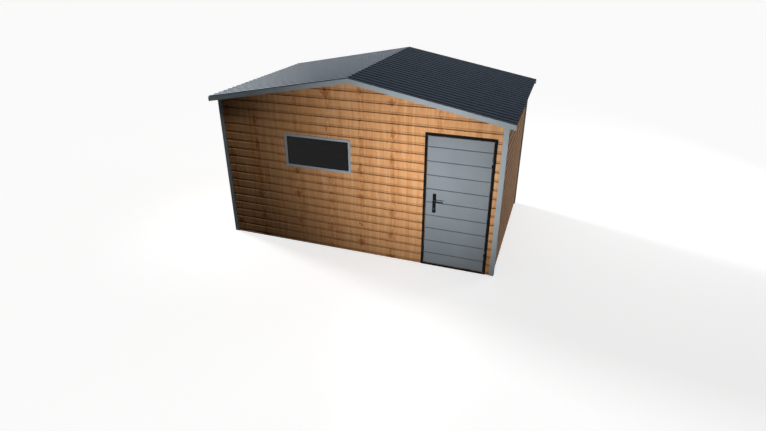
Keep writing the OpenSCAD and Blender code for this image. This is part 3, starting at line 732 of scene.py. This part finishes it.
# mm, but for the slope in degrees and the ridge's height in metres; the pans lie between the ribs
roof = {"pitch": 113, "ribFoot": 58, "first": 16.5, "pans": 23, "slope": 10.55, "ridge": 2.508, "skin": 0.8}
fixing = {
    "rows": (0.07, 1.015, 1.972),       # metres from the ridge
    "everyPan": 2,
    "screw": ((-0.5, 8.0), (0.9, 8.0), (1.2, 7.0), (1.2, 4.6), (3.6, 4.2), (4.4, 2.6)),
    "rivets": 7,                        # to each leg of a corner trim
    "firstRivet": 0.12,                 # metres above the ground
    "rivetStep": 0.30,                  # metres
    "rivetInset": 0.035,                # metres from the trim's corner
    "rivet": ((-0.3, 4.0), (0.5, 3.9), (1.1, 3.0), (1.4, 1.4)),
}
slope = math.radians(roof["slope"])
for side, sign in (("left", -1), ("right", 1)):
    shape = bmesh.new()
    upward = Vector((sign * math.sin(slope), 0, math.cos(slope)))
    for row in fixing["rows"]:
        onSheet = roof["ridge"] + roof["skin"] * mm - row * math.tan(slope)
        for pan in range(0, roof["pans"], fixing["everyPan"]):
            fromFront = roof["first"] + pan * roof["pitch"] + (roof["pitch"] + roof["ribFoot"]) / 2
            foot = (sign * row, roofFront + fromFront * mm, onSheet)
            addTurned(shape, fixing["screw"], foot, upward, sides=12)
    finishPiece("roof_screws_" + side, shape, roofPaint, "root")

shape = bmesh.new()
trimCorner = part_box("corner_trim_back_right")[1]
inset = fixing["rivetInset"]
for signX in (-1, 1):
    for signY in (-1, 1):
        for step in range(fixing["rivets"]):
            z = fixing["firstRivet"] + step * fixing["rivetStep"]
            for at, facing in (((trimCorner.x - inset, trimCorner.y), (0, signY, 0)),
                               ((trimCorner.x, trimCorner.y - inset), (signX, 0, 0))):
                addTurned(shape, fixing["rivet"], (signX * at[0], signY * at[1], z), facing, sides=10)
finishPiece("trim_rivets", shape, trimPaint, "root")

print("floor, backdrop and light")
studio = {
    "floor": "#c4c4c4",
    "bounce": "#303030",    # what the object gets back from the floor
    "reach": 80,            # metres of floor to each side
    "lift": 0.67,
    "indoors": 0.025,       # metres inside the walls' faces, from where the ground has no lift
    "white": 0.96,
    "zenith": 2.35,         # the sky's strength overhead, and how fast it falls off from there
    "falloff": 8.0,
    "skyShare": 0.45,       # how much of the sky lights the object
    "mirrorLow": "#ebf4ff",     # a cool room in reflections, and its ceiling
    "mirrorHigh": "#d5e6ff",
    "mirrorEdge": (0.03, 0.14),     # how far up a reflection turns from the room to the ceiling
    "window": 1.55,         # how much brighter the backdrop's left side is in reflections, and its edge
    "windowEdge": (-0.48, -0.72),
    "sunFrom": (-0.90, 0.27, 0.34),
    "sun": 2.8,
    "sunSpread": 12,
    # place, aim, size, watts, spread in degrees
    "key": ((1.75, -5.6, 0.72), (0.95, -1.25, 1.52), 1.3, 31.5, 54),
    "fill": ((6.2, 3.4, 3.0), (1.6, 0.6, 1.0), 2.6, 95, 180),
    "top": ((-2.7, -2.3, 5.2), (-2.1, -1.25, 1.1), 1.0, 3.6, 46),
}


# 1 for rays that show the backdrop: to the camera, and by way of a reflection or a pane
def showsBackdrop(tree, rays):
    seen = addNode(tree, "Math", {0: rays.outputs["Is Camera Ray"], 1: rays.outputs["Is Glossy Ray"]},
                   operation="MAXIMUM")
    return addNode(tree, "Math", {0: seen, 1: rays.outputs["Is Transmission Ray"]}, operation="MAXIMUM")


floorMaterial, tree, shader, coords = newMaterial("pale floor", Roughness=0.9, Specular_IOR_Level=0.0,
                                                  Emission_Color="#ffffff")
seen = showsBackdrop(tree, addNode(tree, "LightPath"))
body = addNode(tree, "Mix", {"Factor": seen, "A": studio["bounce"], "B": studio["floor"]}, data_type="RGBA")
feed(tree, shader.inputs["Base Color"], body)
place = addNode(tree, "SeparateXYZ", {0: coords.outputs["Object"]})
outward = 0.0
for axis, wallFace in (("X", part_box("right_wall")[1].x), ("Y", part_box("back_wall")[1].y)):
    away = addNode(tree, "Math", {0: place.outputs[axis]}, operation="ABSOLUTE")
    away = addNode(tree, "Math", {0: away, 1: wallFace - studio["indoors"]}, operation="DIVIDE")
    outward = addNode(tree, "Math", {0: outward, 1: away}, operation="MAXIMUM")
outdoors = addNode(tree, "Math", {0: outward, 1: 1.0}, operation="GREATER_THAN")
lift = addNode(tree, "Math", {0: seen, 1: studio["lift"]}, operation="MULTIPLY")
lift = addNode(tree, "Math", {0: lift, 1: outdoors}, operation="MULTIPLY")
feed(tree, shader.inputs["Emission Strength"], lift)
floorMesh = bpy.data.meshes.new("floor")
shape = bmesh.new()
bmesh.ops.create_grid(shape, x_segments=1, y_segments=1, size=studio["reach"])
shape.to_mesh(floorMesh)
shape.free()
floorMesh.materials.append(floorMaterial)
floor = bpy.data.objects.new("floor", floorMesh)
bpy.context.scene.collection.objects.link(floor)

world = bpy.data.worlds.new("studio")
world.use_nodes = True
bpy.context.scene.world = world
tree = world.node_tree
background = tree.nodes["Background"]
rays = addNode(tree, "LightPath")
seen = showsBackdrop(tree, rays)
way = addNode(tree, "SeparateXYZ", {0: addNode(tree, "TexCoord").outputs["Generated"]})
up = way.outputs["Z"]
overhead = addNode(tree, "Math", {0: up, 1: 0.0}, operation="MAXIMUM")
overhead = addNode(tree, "Math", {0: overhead, 1: studio["falloff"]}, operation="POWER")
sky = addNode(tree, "MapRange", ramp(overhead, (0.0, 1.0), high=studio["zenith"]))
window = addNode(tree, "MapRange", ramp(way.outputs["X"], studio["windowEdge"], studio["white"],
                                        studio["white"] + studio["window"]))
mirrored = addNode(tree, "MapRange", ramp(up, studio["mirrorEdge"], window, sky))
shown = addNode(tree, "MapRange", ramp(rays.outputs["Is Camera Ray"], (0.0, 1.0), mirrored,
                                       studio["white"]))
lit = addNode(tree, "Math", {0: sky, 1: studio["skyShare"]}, operation="MULTIPLY")
level = addNode(tree, "MapRange", ramp(seen, (0.0, 1.0), lit, shown))
high = addNode(tree, "MapRange", ramp(up, studio["mirrorEdge"]))
tint = addNode(tree, "Mix", {"Factor": high, "A": studio["mirrorLow"], "B": studio["mirrorHigh"]},
               data_type="RGBA")
tint = addNode(tree, "Mix", {"Factor": rays.outputs["Is Glossy Ray"], "A": "#ffffff", "B": tint},
               data_type="RGBA")
feed(tree, background.inputs["Color"], tint)
feed(tree, background.inputs["Strength"], level)


# Hangs a lamp that shines from where back points, and that no reflection shows
def hangLamp(data, place, back):
    lamp = bpy.data.objects.new(data.name, data)
    lamp.location = place
    lamp.rotation_euler = Vector(back).to_track_quat("Z", "Y").to_euler()
    lamp.visible_glossy = False
    bpy.context.scene.collection.objects.link(lamp)
    return lamp


sunData = bpy.data.lights.new("sun", "SUN")
sunData.energy = studio["sun"]
sunData.angle = math.radians(studio["sunSpread"])
hangLamp(sunData, (0, 0, 0), studio["sunFrom"])
for name in ("key", "fill", "top"):
    place, aim, size, watts, spread = studio[name]
    lampData = bpy.data.lights.new(name, "AREA")
    lampData.shape = "DISK"
    lampData.size = size
    lampData.energy = watts
    lampData.spread = math.radians(spread)
    hangLamp(lampData, place, Vector(place) - Vector(aim)).visible_camera = False
bpy.context.scene.view_settings.view_transform = "Standard"
